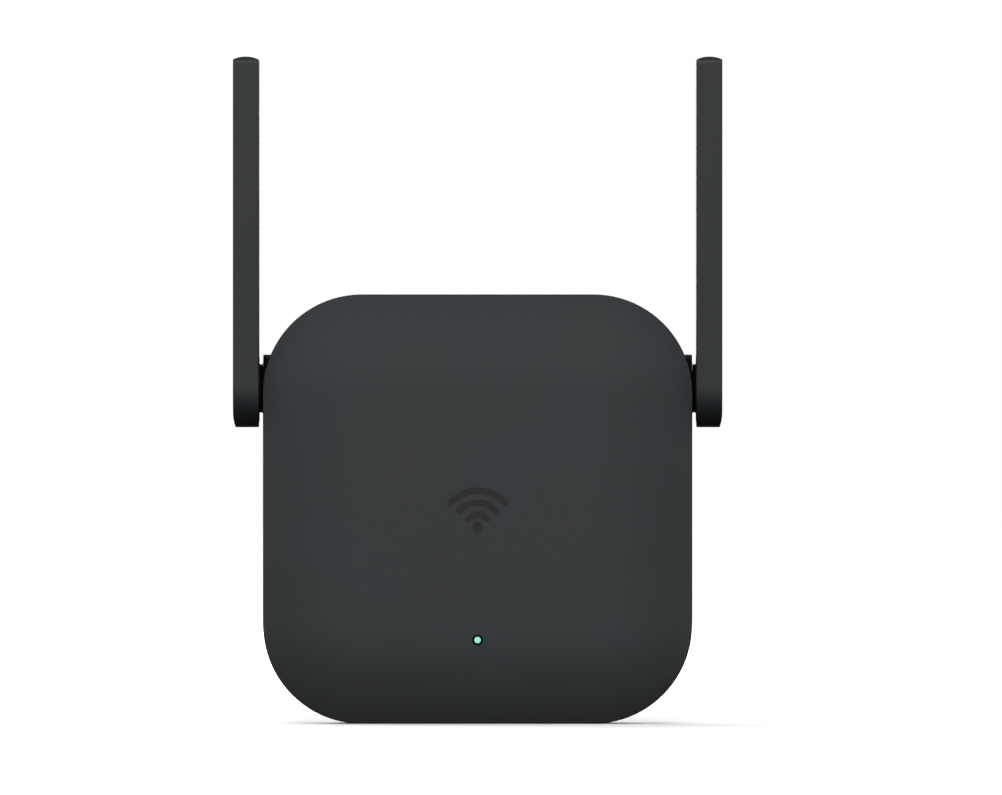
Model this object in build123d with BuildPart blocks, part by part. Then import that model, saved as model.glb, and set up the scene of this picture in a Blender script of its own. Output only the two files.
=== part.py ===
from build123d import *
from math import sqrt
import os

os.makedirs("parts", exist_ok=True)

# Frame: the origin is the middle of the face that meets the wall socket, +X is to the right as the
# object faces the room, +Y runs into the wall and +Z is up. A depth is a distance in front of the
# origin, so depth d is the plane y = -d, and every sketch at a depth is drawn as seen from the front.

# ---- Driving dimensions, millimetres ----

# Case
body_size = 78.6
corner_radius = 18.1
wall = 2.0
back_depth = 18.0
parting_depth = 21.0
front_depth = 41.5
crown_drop = 6.2
rim_fillet = 0.45
back_fillet = 1.2
seat_gap = 0.1
fit_gap = 0.02
rear_plate = 2.0
tongue_end_depth = 23.0
tongue_thickness = 1.1
opening_room = 1.0

# Mark and status light
emblem_depth = 0.3
emblem_gap = 0.03
emblem_arc_radii = (2.3, 4.5, 6.7)
emblem_line = 1.1
emblem_half_angle = 48
emblem_dot_radius = 0.95
emblem_foot_z = -3.3
light_z = -23.9
guide_radius = 0.68
light_hole_radius = 1.02
guide_recess = 0.3
guide_stem_radius = 1.2
guide_flange_radius = 1.85
guide_flange = 0.6
guide_led_gap = 1.0
guide_tip_edge = 0.15
collar_radius = 2.7
collar_bore_radius = 2.0
collar_height = 1.6

# Vents
vent_count = 11
vent_pitch = 3.2
vent_width = 1.2
vent_length = 7.0
vent_depth = 28.0

# Rating label
label_z = -21.0
label_width = 40.0
label_height = 18.0
label_corner = 2.0
label_thickness = 0.14
label_seat_margin = 0.3
label_seat_depth = 0.1

# Screws
case_screw_offset = 29.5
case_screw_radius = 1.1
case_screw_reach = 9.0
case_screw_head_radius = 2.0
case_screw_head = 1.1
well_clearance = 0.15
well_depth = 1.2
boss_radius = 2.8
boss_foot_depth = 20.2
small_screw_radius = 0.8
small_screw_head_radius = 1.6
small_screw_head = 1.1
main_screw_reach = 3.6
main_pilot = 3.2
power_screw_reach = 4.0
power_pilot = 2.8
cross_span = 1.2
cross_width = 0.3
cross_depth = 0.55

# Antennas and their hinges
pivot_depth = 28.2
pivot_z = 22.1
hub_radius = 6.2
hub_edge = 0.15
bush_boss_radius = 4.5
bush_inner_x = 35.3
bush_step_x = 37.4
seat_radius = 7.2
seat_inner_x = 35.9
bore_radius = 2.55
shaft_radius = 2.5
shaft_end_x = 33.0
neck_radius = 4.4
neck_gap = 0.08
neck_flare = 0.28
post_head_radius = 5.4
post_head = 1.2
post_bore_radius = 1.3
clip_groove_x = 34.0
clip_groove_depth = 0.6
clip_thickness = 0.5
clip_reach = 1.6
clip_mouth = 2.2
washer_thickness = 0.5
washer_edge = 0.3
washer_clearance = 0.1
blade_inner_x = 40.08
blade_outer_x = 44.8
blade_half_width = 7.12
blade_top_z = 82.85
blade_top_rise = 0.55
blade_foot_height = 2.7
blade_foot_roll = 0.45
blade_wall = 1.0
blade_corner = 1.3
blade_edge = 0.2
pad_proud = 0.08
cover_thickness = 0.9
element_x = 42.0
element_width = 9.0
element_thickness = 0.6
element_foot = 6.5
element_length = 50.0
copper = 0.1
copper_rise = 9.0
copper_length = 30.0
arm_width = 1.4
arm_length = 4.2
arm_count = 5
arm_pitch = 6.5
antenna_lead_rise = 6.0

# Mains plug
island_width = 35.3
island_height = 13.7
island_wall = 2.0
island_face = 5.0
island_edge = 0.6
island_play = 0.1
flange_reach = 2.0
flange_thickness = 1.2
pin_spacing = 19.0
pin_radius = 2.0
pin_length = 19.0
pin_tip = 1.6
pin_tail_radius = 1.0
pin_tail = 2.2
sleeve_radius = 1.8
sleeve_length = 10.0
sleeve_seat = 1.5
pin_core_radius = 1.5
strap_eye_radius = 2.4
strap_width = 2.4
strap_thickness = 0.6
strap_rise = 3.2
strap_proud = 1.0

# Boards
power_board_depth = 21.4
power_board_thickness = 1.6
power_board_corner = 3.0
main_board_depth = 31.4
main_board_thickness = 1.0
board_half_width = 32.0
board_half_height = 33.0
board_corner = 8.0
board_hole_clearance = 0.15
power_board_top_z = 12.0
boss_clearance = 0.6
pillar_radius = 2.4
pillar_spots = ((-25.0, -12.0), (25.0, -12.0), (0.0, 29.0))
power_screw_spots = ((-26.5, 8.5), (26.5, 8.5))

# Board components: the spot is (x, z) and the size is (across X, along Z, forward)
fuse_spot = (-21.0, 2.0)
fuse_size = (8.4, 4.2, 7.0)
fuse_corner = 0.8
rectifier_spot = (0.0, 7.2)
rectifier_size = (6.4, 4.8, 2.4)
controller_spot = (-9.0, -25.0)
controller_size = (5.0, 4.0, 1.5)
diode_spot = (22.0, -25.5)
diode_size = (4.6, 3.6, 2.3)
can_radius = 3.5
can_length = 14.0
can_foot_x = -29.0
can_rows = (-7.0, -15.0)
can_edge = 0.5
crimp_place = 1.8
crimp_width = 0.7
crimp_depth = 0.35
choke_spot = (-11.0, 7.0)
choke_radius = 3.0
choke_neck_radius = 2.2
choke_height = 6.8
choke_flange = 1.0
winding_radius = 2.9
core_spot = (3.0, -12.0)
core_width = 15.0
core_height = 12.0
core_thickness = 6.6
core_leg = 4.0
core_yoke = 1.4
window_width = 10.8
window_height = 8.0
coil_corner = 1.0
safety_capacitor_spot = (4.0, -25.0)
safety_capacitor_radius = 3.4
safety_capacitor_thickness = 3.2
safety_capacitor_edge = 1.2
output_can_spots = ((20.5, -7.0), (20.5, -15.0))
output_can_radius = 2.9
output_can_height = 7.0
output_can_edge = 0.4
header_spot = (24.0, 2.0)
header_size = (8.0, 2.4)
sheet_spot = (-2.0, -8.5)
sheet_size = (44.0, 34.0)
sheet_corner = 3.0
sheet_thickness = 0.2
sheet_lift = 7.55
radio_spot = (0.0, 6.0)
radio_size = (11.0, 11.0, 0.9)
pad_size = (10.0, 10.0, 0.65)
crystal_spot = (-11.0, 0.0)
crystal_size = (3.2, 2.5, 0.8)
flash_spot = (18.0, -10.0)
flash_size = (5.2, 6.0, 1.7)
led_size = (2.0, 1.25, 0.75)
converter_spot = (-22.0, -21.5)
converter_size = (5.0, 5.0, 2.2)
converter_corner = 0.9
chip_capacitor_size = (1.6, 0.8)
chip_capacitor_height = 0.8
chip_capacitor_pitch = (2.6, 2.4)
chip_capacitor_groups = (((-3.0, -18.0), 4, 2), ((20.0, 22.0), 2, 3))
shield_spot = (0.0, 5.0)
shield_width = 30.0
shield_height = 26.0
shield_frame_wall = 0.3
shield_frame_height = 1.1
shield_lift = 0.15
shield_can_height = 1.6
shield_sheet = 0.2
shield_play = 0.05
spreader_spot = (0.0, 2.0)
spreader_size = (36.0, 40.0)
spreader_corner = 3.0
spreader_thickness = 1.0
spreader_lift = 1.8

# Coax
coax_radius = 0.5
coax_clearance = 0.1
antenna_coax_bend = 2.2
case_coax_bend = 3.5
coax_plug_spot = (18.0, 12.5)
coax_plug_radius = 1.5
coax_socket_side = 2.6
coax_socket_height = 0.58

# Reset switch
switch_x = 19.5
switch_foot_z = -34.0
switch_size = (4.7, 3.6, 1.7)
plunger_width = 1.6
plunger_thickness = 0.9
plunger_foot_z = -35.5
plunger_shoulder_width = 2.4
plunger_shoulder = 0.75
plunger_travel_room = 0.6
slot_gap = 0.05
pinhole_radius = 0.9

# ---- Derived dimensions ----

half = body_size / 2
flat_half = half - corner_radius
crown_radius = (corner_radius**2 + crown_drop**2) / (2 * crown_drop)
inner_plate_depth = back_depth + rear_plate
cover_inner_depth = front_depth - wall
power_top_depth = power_board_depth + power_board_thickness
main_front_depth = main_board_depth + main_board_thickness
switch_mid_depth = main_front_depth + switch_size[2] / 2
pin_x = pin_spacing / 2
forward = Vector(0, -1, 0)


# ---- Helpers ----


def at_depth(depth):
    """The plane at a depth, seen from the front; a positive extrusion runs forward."""
    return Plane.XZ.offset(depth)


def finish_piece(piece, name):
    """Label a finished piece and write it."""
    piece.part.label = name
    export_step(piece.part, f"parts/{name}.step")


def finish_pair(piece, name):
    """Write a right-hand piece and its mirror image on the left."""
    finish_piece(piece, f"right_{name}")
    with BuildPart() as twin:
        mirror(piece.part, about=Plane.YZ)
    finish_piece(twin, f"left_{name}")


def finish_both(piece, name):
    """Write a right-hand piece and its mirror image together, as two solids in one node."""
    with BuildPart() as both:
        add(piece.part)
        mirror(piece.part, about=Plane.YZ)
    finish_piece(both, name)


def block(spot, depth, size, corner=0.0):
    """A board component: a plain package, with its upright edges rounded if a corner is given."""
    width, height, thickness = size
    with BuildPart() as package:
        with BuildSketch(at_depth(depth)):
            with Locations(spot):
                if corner:
                    RectangleRounded(width, height, corner)
                else:
                    Rectangle(width, height)
        extrude(amount=thickness)
    return package


def crowned_corner(inset, start_depth):
    """One rounded corner of the crowned block: a quarter column under a spherical front."""
    reach = corner_radius - inset
    roll_radius = crown_radius - inset
    front = front_depth - inset
    with BuildPart() as corner:
        with BuildSketch(at_depth(start_depth)):
            with Locations((flat_half, flat_half)):
                Circle(reach)
                Rectangle(reach, reach, align=Align.MIN, mode=Mode.INTERSECT)
        extrude(amount=front - start_depth)
        with Locations((flat_half, roll_radius - front, flat_half)):
            Sphere(roll_radius, mode=Mode.INTERSECT)
    return corner.part


def crowned_block(inset, start_depth):
    """A square block with round corners whose front rolls off, by a circular arc, to its outline."""
    reach = corner_radius - inset
    roll_radius = crown_radius - inset
    front = front_depth - inset
    edge = front - roll_radius + sqrt(roll_radius**2 - reach**2)
    corner = crowned_corner(inset, start_depth)
    with BuildPart() as crowned:
        with BuildSketch(at_depth(start_depth)):
            Rectangle(2 * flat_half, 2 * flat_half)
        extrude(amount=front - start_depth)
        for quarter in range(4):
            outward = Vector(1, 0, 0).rotate(Axis.Y, 90 * quarter)
            along = outward.cross(forward)
            with BuildSketch(Plane(origin=outward * flat_half, x_dir=outward, z_dir=along)):
                with BuildLine():
                    Polyline((0, front), (0, start_depth), (reach, start_depth), (reach, edge))
                    RadiusArc((reach, edge), (0, front), -roll_radius)
                make_face()
            extrude(amount=flat_half, both=True)
            add(corner.rotate(Axis.Y, 90 * quarter))
    return crowned.part


def corner_bosses(radius, start_depth):
    """Round columns at the four case screws, ending inside the crowned wall."""
    with BuildPart() as bosses:
        with BuildSketch(at_depth(start_depth)):
            with GridLocations(2 * case_screw_offset, 2 * case_screw_offset, 2, 2):
                Circle(radius)
        extrude(amount=front_depth - start_depth)
        add(crowned_block(wall / 2, back_depth), mode=Mode.INTERSECT)
    return bosses.part


def pivot_plane(x):
    """The plane across the hinge axis at a given x; its sketches run x = depth backwards, y = up."""
    return Plane(origin=(x, -pivot_depth, pivot_z), x_dir=(0, 1, 0), z_dir=(1, 0, 0))


def emblem_shape(grow):
    """The generic signal mark: three arcs over a dot, each outline grown by the given gap."""
    line = emblem_line + 2 * grow
    with BuildSketch() as mark:
        for arc_radius in emblem_arc_radii:
            with BuildLine(mode=Mode.PRIVATE) as spine:
                CenterArc((0, emblem_foot_z), arc_radius, 90 - emblem_half_angle, 2 * emblem_half_angle)
            SlotArc(spine.edge(), line)
        with Locations((0, emblem_foot_z)):
            Circle(emblem_dot_radius + grow)
    return mark.sketch


# ---- Front cover ----

emblem_pocket = emblem_shape(emblem_gap)
emblem_mark = emblem_shape(0)

# Thick seats inside the side walls carry the hinge bushes; they end short of the rear cover's tongue
with BuildPart() as hinge_seats:
    with BuildSketch(pivot_plane(seat_inner_x)):
        Circle(seat_radius)
    extrude(amount=half - seat_inner_x)
    mirror(about=Plane.YZ)
    add(crowned_block(wall / 2, tongue_end_depth + 2 * seat_gap), mode=Mode.INTERSECT)

with BuildPart() as bush_holes:
    with BuildSketch(pivot_plane(seat_inner_x - opening_room)):
        Circle(bush_boss_radius + fit_gap)
    extrude(amount=half - seat_inner_x + 2 * opening_room)
    with BuildSketch(pivot_plane(bush_step_x - fit_gap)):
        Circle(hub_radius + fit_gap)
    extrude(amount=half - bush_step_x + opening_room)
    mirror(about=Plane.YZ)

with BuildPart() as light_collar:
    with BuildSketch(at_depth(cover_inner_depth - collar_height)):
        with Locations((0, light_z)):
            Circle(collar_radius)
            Circle(collar_bore_radius, mode=Mode.SUBTRACT)
    extrude(amount=collar_height + wall / 4)

with BuildPart() as board_pillars:
    with BuildSketch(at_depth(main_front_depth)):
        with Locations(*pillar_spots):
            Circle(pillar_radius)
    extrude(amount=front_depth - main_front_depth)
    add(crowned_block(wall / 2, back_depth), mode=Mode.INTERSECT)

with BuildPart() as front_cover:
    add(crowned_block(0, parting_depth))
    rim_depth = front_depth - crown_drop
    rim = front_cover.edges().filter_by_position(Axis.Y, -rim_depth - 0.01, -rim_depth + 0.01)
    fillet(rim, rim_fillet)
    add(crowned_block(wall, back_depth), mode=Mode.SUBTRACT)
    add(corner_bosses(boss_radius, boss_foot_depth))
    add(board_pillars.part)
    add(light_collar.part)
    add(hinge_seats.part)
    add(bush_holes.part, mode=Mode.SUBTRACT)

    # Pilot holes for the case screws and the main board's screws
    with BuildSketch(at_depth(boss_foot_depth)):
        with GridLocations(2 * case_screw_offset, 2 * case_screw_offset, 2, 2):
            Circle(case_screw_radius + fit_gap)
    extrude(amount=case_screw_reach, mode=Mode.SUBTRACT)
    with BuildSketch(at_depth(main_front_depth)):
        with Locations(*pillar_spots):
            Circle(small_screw_radius + fit_gap)
    extrude(amount=main_pilot, mode=Mode.SUBTRACT)

    # Status light hole, wider than the light guide's tip
    with BuildSketch(at_depth(inner_plate_depth)):
        with Locations((0, light_z)):
            Circle(light_hole_radius)
    extrude(amount=front_depth - inner_plate_depth, mode=Mode.SUBTRACT)

    # Cooling slots in the top and bottom walls
    for side in (1, -1):
        with BuildSketch(Plane.XY.offset(side * (half - wall - opening_room))):
            with Locations((0, -vent_depth)):
                with GridLocations(vent_pitch, 1, vent_count, 1):
                    SlotOverall(vent_length, vent_width, rotation=90)
        extrude(amount=side * (wall + 2 * opening_room), mode=Mode.SUBTRACT)

    # Pocket for the mark
    with BuildSketch(at_depth(front_depth - emblem_depth)):
        add(emblem_pocket)
    extrude(amount=emblem_depth + opening_room, mode=Mode.SUBTRACT)

    # Reset pinhole in the bottom wall
    with BuildSketch(Plane.XY.offset(-half - opening_room)):
        with Locations((switch_x, -switch_mid_depth)):
            Circle(pinhole_radius)
    extrude(amount=wall + 2 * opening_room, mode=Mode.SUBTRACT)
finish_piece(front_cover, "front_cover")

with BuildPart() as emblem_inlay:
    with BuildSketch(at_depth(front_depth - emblem_depth)):
        add(emblem_mark)
    extrude(amount=emblem_depth)
finish_piece(emblem_inlay, "emblem_inlay")

# ---- Light guide: a stem over the status light, a flange inside the collar and a thin tip ----

guide_foot_depth = main_front_depth + guide_led_gap
guide_flange_depth = cover_inner_depth - guide_led_gap
with BuildPart() as light_guide:
    with BuildSketch(at_depth(guide_foot_depth)):
        with Locations((0, light_z)):
            Circle(guide_stem_radius)
    extrude(amount=guide_flange_depth - guide_foot_depth)
    with BuildSketch(at_depth(guide_flange_depth)):
        with Locations((0, light_z)):
            Circle(guide_flange_radius)
    extrude(amount=guide_flange)
    with BuildSketch(at_depth(guide_flange_depth)):
        with Locations((0, light_z)):
            Circle(guide_radius)
    extrude(amount=front_depth - guide_recess - guide_flange_depth)
    tip = light_guide.faces().sort_by(Axis.Y)[0]
    fillet(tip.edges(), guide_tip_edge)
finish_piece(light_guide, "light_guide")

# ---- Rear cover ----

with BuildPart() as rear_cover:
    with BuildSketch(at_depth(back_depth)):
        RectangleRounded(body_size, body_size, corner_radius)
    extrude(amount=parting_depth - seat_gap - back_depth)
    back_rim = rear_cover.faces().sort_by(Axis.Y)[-1].edges()
    fillet(back_rim, back_fillet)
    inner_size = body_size - 2 * wall
    tongue_size = inner_size - 2 * seat_gap
    pan_size = tongue_size - 2 * tongue_thickness
    with BuildSketch(at_depth(inner_plate_depth)):
        RectangleRounded(tongue_size, tongue_size, corner_radius - wall - seat_gap)
    extrude(amount=tongue_end_depth - inner_plate_depth)
    with BuildSketch(at_depth(inner_plate_depth)):
        RectangleRounded(pan_size, pan_size, corner_radius - wall - seat_gap - tongue_thickness)
    extrude(amount=tongue_end_depth - inner_plate_depth, mode=Mode.SUBTRACT)

    # Standoffs for the power board
    with BuildSketch(at_depth(inner_plate_depth)):
        with Locations(*power_screw_spots):
            Circle(pillar_radius)
    extrude(amount=power_board_depth - inner_plate_depth)
    with BuildSketch(at_depth(power_board_depth)):
        with Locations(*power_screw_spots):
            Circle(small_screw_radius + fit_gap)
    extrude(amount=-power_pilot, mode=Mode.SUBTRACT)

    # Wells for the case screws: a head recess outside and a clear hole through
    with BuildSketch(at_depth(back_depth)):
        with GridLocations(2 * case_screw_offset, 2 * case_screw_offset, 2, 2):
            Circle(case_screw_head_radius + well_clearance)
    extrude(amount=well_depth, mode=Mode.SUBTRACT)
    with BuildSketch(at_depth(back_depth)):
        with GridLocations(2 * case_screw_offset, 2 * case_screw_offset, 2, 2):
            Circle(case_screw_radius + well_clearance)
    extrude(amount=rear_plate, mode=Mode.SUBTRACT)

    # Opening for the plug block
    with BuildSketch(at_depth(back_depth)):
        SlotOverall(island_width + island_play, island_height + island_play)
    extrude(amount=rear_plate, mode=Mode.SUBTRACT)

    # Shallow seat for the rating label
    with BuildSketch(at_depth(back_depth)):
        with Locations((0, label_z)):
            seat_width = label_width + 2 * label_seat_margin
            seat_height = label_height + 2 * label_seat_margin
            RectangleRounded(seat_width, seat_height, label_corner + label_seat_margin)
    extrude(amount=label_seat_depth, mode=Mode.SUBTRACT)
finish_piece(rear_cover, "rear_cover")

with BuildPart() as rating_label:
    with BuildSketch(at_depth(back_depth + label_seat_depth)):
        with Locations((0, label_z)):
            RectangleRounded(label_width, label_height, label_corner)
    extrude(amount=-label_thickness)
finish_piece(rating_label, "rating_label")

# ---- Screws ----


def pan_screws(spots, seat_depth, toward, shank, reach, head, head_height):
    """Pan-head screws at the given spots: heads on the seat, shanks running towards `toward`."""
    with BuildPart() as screws:
        with BuildSketch(at_depth(seat_depth)):
            with Locations(*spots):
                Circle(shank)
        extrude(amount=toward * reach)
        with BuildSketch(at_depth(seat_depth)):
            with Locations(*spots):
                Circle(head)
        extrude(amount=-toward * head_height)
        ends = screws.faces().filter_by(Axis.Y).sort_by(Axis.Y)
        tops = ends[-len(spots):] if toward > 0 else ends[: len(spots)]
        fillet(tops.edges(), 0.4 * head_height)
        with BuildSketch(at_depth(seat_depth - toward * head_height)):
            with Locations(*spots):
                Rectangle(cross_span * head, cross_width * head)
                Rectangle(cross_width * head, cross_span * head)
        extrude(amount=toward * cross_depth * head_height, mode=Mode.SUBTRACT)
    return screws


corner_spots = [(x * case_screw_offset, z * case_screw_offset) for x in (1, -1) for z in (1, -1)]
case_screws = pan_screws(
    corner_spots, back_depth + well_depth, 1, case_screw_radius, case_screw_reach, case_screw_head_radius,
    case_screw_head,
)
finish_piece(case_screws, "case_screws")
main_board_screws = pan_screws(
    pillar_spots, main_board_depth, 1, small_screw_radius, main_screw_reach, small_screw_head_radius,
    small_screw_head,
)
finish_piece(main_board_screws, "main_board_screws")
power_board_screws = pan_screws(
    power_screw_spots, power_top_depth, -1, small_screw_radius, power_screw_reach,
    small_screw_head_radius, small_screw_head,
)
finish_piece(power_board_screws, "power_board_screws")

# ---- Mains plug ----

with BuildPart() as plug_block:
    with BuildSketch(at_depth(0)):
        SlotOverall(island_width, island_height)
    extrude(amount=inner_plate_depth + flange_thickness)
    face_edges = plug_block.faces().sort_by(Axis.Y)[-1].edges()
    fillet(face_edges, island_edge)
    with BuildSketch(at_depth(inner_plate_depth)):
        SlotOverall(island_width + 2 * flange_reach, island_height + 2 * flange_reach)
    extrude(amount=flange_thickness)
    with BuildSketch(at_depth(island_face)):
        SlotOverall(island_width - 2 * island_wall, island_height - 2 * island_wall)
    extrude(amount=inner_plate_depth, mode=Mode.SUBTRACT)
    with BuildSketch(at_depth(0)):
        with GridLocations(pin_spacing, 1, 2, 1):
            Circle(pin_core_radius + fit_gap)
    extrude(amount=island_face, mode=Mode.SUBTRACT)
    with BuildSketch(at_depth(0)):
        with GridLocations(pin_spacing, 1, 2, 1):
            Circle(sleeve_radius + fit_gap)
    extrude(amount=sleeve_seat, mode=Mode.SUBTRACT)
finish_piece(plug_block, "plug_block")

with BuildPart() as plug_pin:
    with BuildSketch(at_depth(-sleeve_length - fit_gap)):
        with Locations((pin_x, 0)):
            Circle(pin_radius)
    extrude(amount=-(pin_length - sleeve_length - fit_gap))
    fillet(plug_pin.faces().sort_by(Axis.Y)[-1].edges(), pin_tip)
    with BuildSketch(at_depth(-sleeve_length - fit_gap)):
        with Locations((pin_x, 0)):
            Circle(pin_core_radius)
    extrude(amount=sleeve_length + fit_gap + island_face)
    with BuildSketch(at_depth(island_face)):
        with Locations((pin_x, 0)):
            Circle(pin_tail_radius)
    extrude(amount=pin_tail)
finish_pair(plug_pin, "plug_pin")

with BuildPart() as pin_sleeve:
    with BuildSketch(at_depth(-sleeve_length)):
        with Locations((pin_x, 0)):
            Circle(sleeve_radius)
            Circle(pin_core_radius + fit_gap, mode=Mode.SUBTRACT)
    extrude(amount=sleeve_length + sleeve_seat)
finish_both(pin_sleeve, "pin_sleeves")

# Each strap is an eye round the pin's tail with a blade that stands up through the power board
strap_depth = island_face + strap_thickness / 2
strap_blade_z = strap_rise - strap_thickness / 2
with BuildPart() as mains_strap:
    with BuildSketch(at_depth(strap_depth)):
        with Locations((pin_x, 0)):
            Circle(strap_eye_radius)
        with Locations((pin_x, strap_rise / 2)):
            Rectangle(strap_width, strap_rise)
        with Locations((pin_x, 0)):
            Circle(pin_tail_radius + fit_gap, mode=Mode.SUBTRACT)
    extrude(amount=strap_thickness)
    with BuildSketch(at_depth(strap_depth)):
        with Locations((pin_x, strap_blade_z)):
            Rectangle(strap_width, strap_thickness)
    extrude(amount=power_top_depth + strap_proud - strap_depth)
finish_both(mains_strap, "mains_straps")

# ---- Power board ----

board_notch = boss_radius + boss_clearance

with BuildPart() as power_board:
    with BuildSketch(at_depth(power_board_depth)):
        board_height = board_half_height + power_board_top_z
        with Locations((0, (power_board_top_z - board_half_height) / 2)):
            RectangleRounded(2 * board_half_width, board_height, power_board_corner)
        with GridLocations(2 * case_screw_offset, 2 * case_screw_offset, 2, 2):
            Circle(board_notch, mode=Mode.SUBTRACT)
        notch_spot = case_screw_offset + board_notch / 2
        with Locations((notch_spot, -notch_spot), (-notch_spot, -notch_spot)):
            Rectangle(2 * board_notch, 2 * board_notch, mode=Mode.SUBTRACT)
        with Locations(*power_screw_spots):
            Circle(small_screw_radius + board_hole_clearance, mode=Mode.SUBTRACT)
        with Locations((pin_x, strap_blade_z), (-pin_x, strap_blade_z)):
            slot_width = strap_width + 2 * slot_gap
            slot_height = strap_thickness + 2 * slot_gap
            Rectangle(slot_width, slot_height, mode=Mode.SUBTRACT)
    extrude(amount=power_board_thickness)
finish_piece(power_board, "power_board")

finish_piece(block(fuse_spot, power_top_depth, fuse_size, fuse_corner), "fuse")
finish_piece(block(rectifier_spot, power_top_depth, rectifier_size), "bridge_rectifier")
finish_piece(block(controller_spot, power_top_depth, controller_size), "power_controller")
finish_piece(block(diode_spot, power_top_depth, diode_size), "output_diode")

# Two electrolytic cans lying along X, each with a crimp groove near its bung
can_mid_depth = power_top_depth + can_radius + seat_gap
can_centres = [(0, z) for z in can_rows]


def can_plane(x):
    """The plane across the lying cans at a given x."""
    return Plane(origin=(x, -can_mid_depth, 0), x_dir=(0, 1, 0), z_dir=(1, 0, 0))


with BuildPart() as storage_capacitors:
    with BuildSketch(can_plane(can_foot_x)):
        with Locations(*can_centres):
            Circle(can_radius)
    extrude(amount=can_length)
    fillet(storage_capacitors.faces().sort_by(Axis.X)[-2:].edges(), can_edge)
    with BuildSketch(can_plane(can_foot_x + crimp_place)):
        with Locations(*can_centres):
            Circle(can_radius + crimp_depth)
            Circle(can_radius - crimp_depth, mode=Mode.SUBTRACT)
    extrude(amount=crimp_width, mode=Mode.SUBTRACT)
finish_piece(storage_capacitors, "storage_capacitors")

# A drum-shaped choke with its wire wound between the flanges
choke_waist = choke_height - 2 * choke_flange
with BuildPart() as filter_inductor:
    with BuildSketch(at_depth(power_top_depth)):
        with Locations(choke_spot):
            Circle(choke_radius)
    extrude(amount=choke_height)
    with BuildSketch(at_depth(power_top_depth + choke_flange)):
        with Locations(choke_spot):
            Circle(choke_radius + slot_gap)
            Circle(choke_neck_radius, mode=Mode.SUBTRACT)
    extrude(amount=choke_waist, mode=Mode.SUBTRACT)
finish_piece(filter_inductor, "filter_inductor")

with BuildPart() as inductor_winding:
    with BuildSketch(at_depth(power_top_depth + choke_flange + slot_gap)):
        with Locations(choke_spot):
            Circle(winding_radius)
            Circle(choke_neck_radius + slot_gap, mode=Mode.SUBTRACT)
    extrude(amount=choke_waist - 2 * slot_gap)
finish_piece(inductor_winding, "inductor_winding")

# Transformer: the core is a frame with a thinner middle leg, and the coil fills the windows round the leg
core_depth = power_top_depth + 3 * seat_gap
with BuildPart() as transformer_core:
    with BuildSketch(at_depth(core_depth)):
        with Locations(core_spot):
            Rectangle(core_width, core_height)
            Rectangle(window_width, window_height, mode=Mode.SUBTRACT)
    extrude(amount=core_thickness)
    with BuildSketch(at_depth(core_depth + core_yoke)):
        with Locations(core_spot):
            Rectangle(core_leg, window_height)
    extrude(amount=core_thickness - 2 * core_yoke)
finish_piece(transformer_core, "transformer_core")

with BuildPart() as transformer_coil:
    with BuildSketch(at_depth(core_depth + 2 * slot_gap)):
        with Locations(core_spot):
            coil_width = window_width - 4 * slot_gap
            coil_height = window_height - 4 * slot_gap
            RectangleRounded(coil_width, coil_height, coil_corner)
    extrude(amount=core_thickness - 4 * slot_gap)
    with BuildSketch(at_depth(core_depth + core_yoke - slot_gap)):
        with Locations(core_spot):
            Rectangle(core_leg + 2 * slot_gap, window_height)
    extrude(amount=core_thickness - 2 * core_yoke + 2 * slot_gap, mode=Mode.SUBTRACT)
finish_piece(transformer_coil, "transformer_coil")

safety_x, safety_z = safety_capacitor_spot
safety_depth = power_top_depth + safety_capacitor_radius + 3 * seat_gap
with BuildPart() as y_capacitor:
    with BuildSketch(Plane.XY.offset(safety_z)):
        with Locations((safety_x, -safety_depth)):
            Circle(safety_capacitor_radius)
    extrude(amount=safety_capacitor_thickness / 2, both=True)
    fillet(y_capacitor.edges().filter_by(GeomType.CIRCLE), safety_capacitor_edge)
finish_piece(y_capacitor, "y_capacitor")

with BuildPart() as output_capacitors:
    with BuildSketch(at_depth(power_top_depth)):
        with Locations(*output_can_spots):
            Circle(output_can_radius)
    extrude(amount=output_can_height)
    fillet(output_capacitors.faces().sort_by(Axis.Y)[:2].edges(), output_can_edge)
finish_piece(output_capacitors, "output_capacitors")

header_size_3d = (*header_size, main_board_depth - power_top_depth)
finish_piece(block(header_spot, power_top_depth, header_size_3d), "board_header")

with BuildPart() as insulation_sheet:
    with BuildSketch(at_depth(power_top_depth + sheet_lift)):
        with Locations(sheet_spot):
            RectangleRounded(*sheet_size, sheet_corner)
        with Locations(pillar_spots[0]):
            Circle(small_screw_head_radius + opening_room, mode=Mode.SUBTRACT)
    extrude(amount=sheet_thickness)
finish_piece(insulation_sheet, "insulation_sheet")

# ---- Main board ----

with BuildPart() as main_board:
    with BuildSketch(at_depth(main_board_depth)):
        RectangleRounded(2 * board_half_width, 2 * board_half_height, board_corner)
        with GridLocations(2 * case_screw_offset, 2 * case_screw_offset, 2, 2):
            Circle(board_notch, mode=Mode.SUBTRACT)
        with Locations(*pillar_spots):
            Circle(small_screw_radius + board_hole_clearance, mode=Mode.SUBTRACT)
    extrude(amount=main_board_thickness)
finish_piece(main_board, "main_board")

finish_piece(block(radio_spot, main_front_depth, radio_size), "radio_chip")
finish_piece(block(radio_spot, main_front_depth + radio_size[2], pad_size), "thermal_pad")
finish_piece(block(crystal_spot, main_front_depth, crystal_size), "crystal")
finish_piece(block(flash_spot, main_front_depth, flash_size), "flash_chip")
finish_piece(block((0.0, light_z), main_front_depth, led_size), "status_led")
converter = block(converter_spot, main_front_depth, converter_size, converter_corner)
finish_piece(converter, "converter_inductor")

with BuildPart() as chip_capacitors:
    with BuildSketch(at_depth(main_front_depth)):
        for group_spot, columns, rows in chip_capacitor_groups:
            with Locations(group_spot):
                with GridLocations(*chip_capacitor_pitch, columns, rows):
                    Rectangle(*chip_capacitor_size)
    extrude(amount=chip_capacitor_height)
finish_piece(chip_capacitors, "chip_capacitors")

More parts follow.
